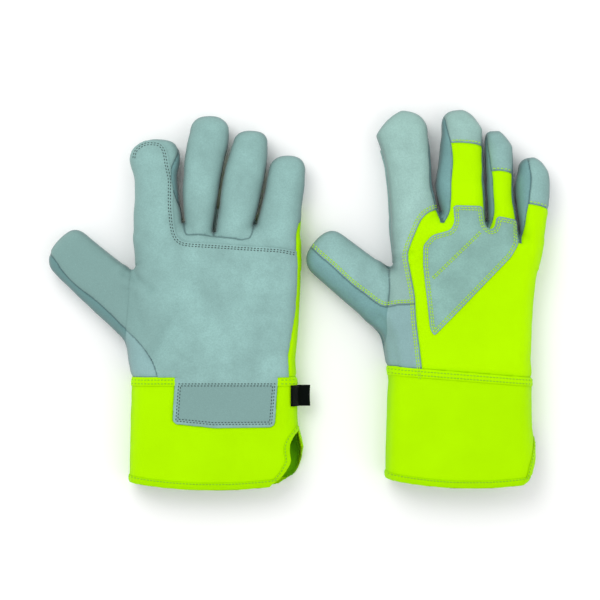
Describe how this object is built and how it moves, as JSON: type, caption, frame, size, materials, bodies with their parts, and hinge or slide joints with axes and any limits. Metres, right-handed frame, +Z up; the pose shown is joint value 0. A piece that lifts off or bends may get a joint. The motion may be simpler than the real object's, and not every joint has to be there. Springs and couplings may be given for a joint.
{
  "type": "pair of leather work gloves",
  "caption": "Pair of work gloves with suede leather palms, bright fabric backs and long open cuffs, one palm up and one palm down. Each finger bends.",
  "frame": {"origin": "on the surface that the pair lies on, under the middle of the pair's box", "axes": "+X from the left-hand glove to the right-hand glove, +Y from the cuffs to the fingertips, +Z up"},
  "size_m": [0.37, 0.2809, 0.0346],
  "materials": {
    "split_leather": "matte suede nap, grey-green",
    "high_visibility_fabric": "smooth knitted fluorescent yellow-green",
    "cuff_fabric": "stiff coated fluorescent yellow-green",
    "binding_tape": "folded binding tape, fluorescent yellow-green",
    "lining_fabric": "matte dark green lining",
    "tag_tape": "black woven tape, plain"
  },
  "bodies": {
    "left_hand": {"left_palm_panel": "split_leather", "left_palm_overlay": "split_leather", "left_hand_back": "high_visibility_fabric", "left_side_leather": "split_leather", "left_knuckle_patch": "split_leather", "left_wrist_patch": "split_leather", "left_cuff_front": "cuff_fabric", "left_cuff_back": "cuff_fabric", "left_cuff_binding": "binding_tape", "left_lining": "lining_fabric", "left_tag": "tag_tape"},
    "left_index": {"left_index_front": "split_leather", "left_index_far_side_strip": "split_leather", "left_index_back": "split_leather"},
    "left_middle": {"left_middle_front": "split_leather", "left_middle_thumb_side_strip": "split_leather", "left_middle_far_side_strip": "split_leather", "left_middle_back": "high_visibility_fabric", "left_middle_cap": "split_leather"},
    "left_ring": {"left_ring_front": "split_leather", "left_ring_thumb_side_strip": "split_leather", "left_ring_far_side_strip": "split_leather", "left_ring_back": "high_visibility_fabric", "left_ring_cap": "split_leather"},
    "left_little": {"left_little_front": "split_leather", "left_little_thumb_side_strip": "split_leather", "left_little_back": "high_visibility_fabric", "left_little_cap": "split_leather"},
    "left_thumb": {"left_thumb_front": "split_leather", "left_thumb_back": "split_leather"},
    "right_hand": {"right_palm_panel": "split_leather", "right_palm_overlay": "split_leather", "right_hand_back": "high_visibility_fabric", "right_side_leather": "split_leather", "right_knuckle_patch": "split_leather", "right_wrist_patch": "split_leather", "right_cuff_front": "cuff_fabric", "right_cuff_back": "cuff_fabric", "right_cuff_binding": "binding_tape", "right_lining": "lining_fabric"},
    "right_index": {"right_index_front": "split_leather", "right_index_far_side_strip": "split_leather", "right_index_back": "split_leather"},
    "right_middle": {"right_middle_front": "split_leather", "right_middle_thumb_side_strip": "split_leather", "right_middle_far_side_strip": "split_leather", "right_middle_back": "high_visibility_fabric", "right_middle_cap": "split_leather"},
    "right_ring": {"right_ring_front": "split_leather", "right_ring_thumb_side_strip": "split_leather", "right_ring_far_side_strip": "split_leather", "right_ring_back": "high_visibility_fabric", "right_ring_cap": "split_leather"},
    "right_little": {"right_little_front": "split_leather", "right_little_thumb_side_strip": "split_leather", "right_little_back": "high_visibility_fabric", "right_little_cap": "split_leather"},
    "right_thumb": {"right_thumb_front": "split_leather", "right_thumb_back": "split_leather"}
  },
  "joints": [
    {"name": "left_index_bend", "type": "hinge", "parent": "left_hand", "child": "left_index", "pos_m": [-0.1036, 0.0471, 0.0268], "axis": [1, 0, 0], "range_deg": [0, 70]},
    {"name": "left_middle_bend", "type": "hinge", "parent": "left_hand", "child": "left_middle", "pos_m": [-0.0738, 0.0471, 0.0268], "axis": [1, 0, 0], "range_deg": [0, 70]},
    {"name": "left_ring_bend", "type": "hinge", "parent": "left_hand", "child": "left_ring", "pos_m": [-0.0476, 0.0471, 0.0268], "axis": [1, 0, 0], "range_deg": [0, 70]},
    {"name": "left_little_bend", "type": "hinge", "parent": "left_hand", "child": "left_little", "pos_m": [-0.0158, 0.0471, 0.0268], "axis": [1, 0, 0], "range_deg": [0, 70]},
    {"name": "left_thumb_bend", "type": "hinge", "parent": "left_hand", "child": "left_thumb", "pos_m": [-0.1256, -0.00595, 0.0268], "axis": [0.054, 0.9985, 0], "range_deg": [0, 60]},
    {"name": "right_index_bend", "type": "hinge", "parent": "right_hand", "child": "right_index", "pos_m": [0.0861, 0.06221, 0.0008], "axis": [-0.9904, 0.138, 0], "range_deg": [0, 70]},
    {"name": "right_middle_bend", "type": "hinge", "parent": "right_hand", "child": "right_middle", "pos_m": [0.123, 0.05706, 0.0008], "axis": [-0.9904, 0.138, 0], "range_deg": [0, 70]},
    {"name": "right_ring_bend", "type": "hinge", "parent": "right_hand", "child": "right_ring", "pos_m": [0.1514, 0.05311, 0.0008], "axis": [-0.9904, 0.138, 0], "range_deg": [0, 70]},
    {"name": "right_little_bend", "type": "hinge", "parent": "right_hand", "child": "right_little", "pos_m": [0.173, 0.0501, 0.0008], "axis": [-0.9904, 0.138, 0], "range_deg": [0, 70]},
    {"name": "right_thumb_bend", "type": "hinge", "parent": "right_hand", "child": "right_thumb", "pos_m": [0.06525, -0.0061, 0.0008], "axis": [-0.0675, -0.9977, 0], "range_deg": [0, 60]},
    {"name": "right_glove_lift", "type": "slide", "parent": "left_hand", "child": "right_hand", "axis": [0, 0, 1], "range_m": [0, 0.06]}
  ]
}
